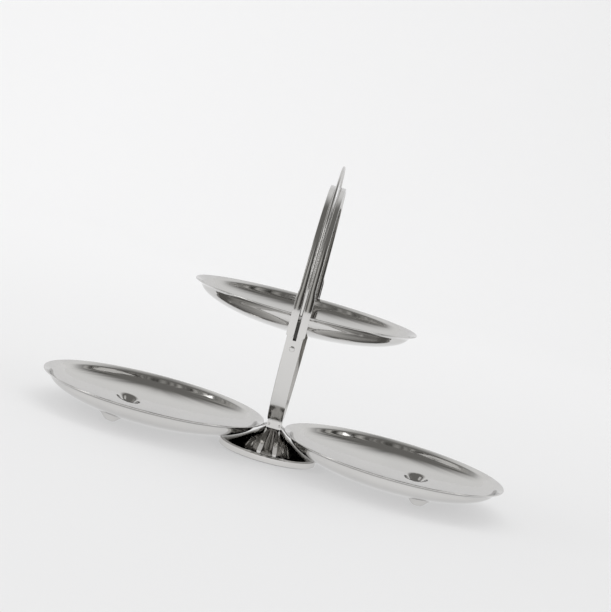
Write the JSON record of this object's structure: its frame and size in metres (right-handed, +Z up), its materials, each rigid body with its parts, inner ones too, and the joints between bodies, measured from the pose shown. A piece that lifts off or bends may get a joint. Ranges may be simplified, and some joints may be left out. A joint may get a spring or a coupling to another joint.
{
  "type": "folding three-dish serving stand",
  "caption": "Polished steel serving stand: dishes hinged beside a conical foot and another dish turning inside an upright round hoop with a wire carrying bail.",
  "frame": {"origin": "centre of the footprint on the table", "axes": "+X to the right along the row of lower dishes, front faces -Y, +Z up along the hoop"},
  "size_m": [0.356, 0.1824, 0.2228],
  "materials": {
    "polished_steel": "mirror polished stainless steel",
    "plain_steel": "plain stainless steel",
    "cast_weight": "as cast, hidden in the foot",
    "rubber_pad": "matt black"
  },
  "bodies": {
    "stand": {"base_cone": "polished_steel", "base_weight": "cast_weight", "base_pad": "rubber_pad", "base_screw": "plain_steel", "base_washer": "plain_steel", "neck_block": "polished_steel", "cradle_screw": "plain_steel", "left_hinge_pin": "polished_steel", "right_hinge_pin": "polished_steel", "hoop_cradle": "polished_steel", "left_rail": "polished_steel", "right_rail": "polished_steel", "bail_handle": "polished_steel", "front_leaf_spring": "plain_steel", "back_leaf_spring": "plain_steel", "front_spring_rivet": "polished_steel", "back_spring_rivet": "polished_steel", "front_rail_tie": "plain_steel", "back_rail_tie": "plain_steel"},
    "upper": {"upper_dish": "polished_steel", "front_dish_lug": "plain_steel", "back_dish_lug": "plain_steel"},
    "left": {"left_dish": "polished_steel", "left_hinge_leaf": "plain_steel"},
    "right": {"right_dish": "polished_steel", "right_hinge_leaf": "plain_steel"}
  },
  "joints": [
    {"name": "upper_dish_turn", "type": "hinge", "parent": "stand", "child": "upper", "pos_m": [0, 0, 0.116], "axis": [0, 1, 0], "range_deg": [-90, 90]},
    {"name": "left_dish_fold", "type": "hinge", "parent": "stand", "child": "left", "pos_m": [-0.004, 0, 0.0236], "axis": [0, 1, 0], "range_deg": [0, 54]},
    {"name": "right_dish_fold", "type": "hinge", "parent": "stand", "child": "right", "pos_m": [0.004, 0, 0.0236], "axis": [0, -1, 0], "range_deg": [0, 54]}
  ]
}
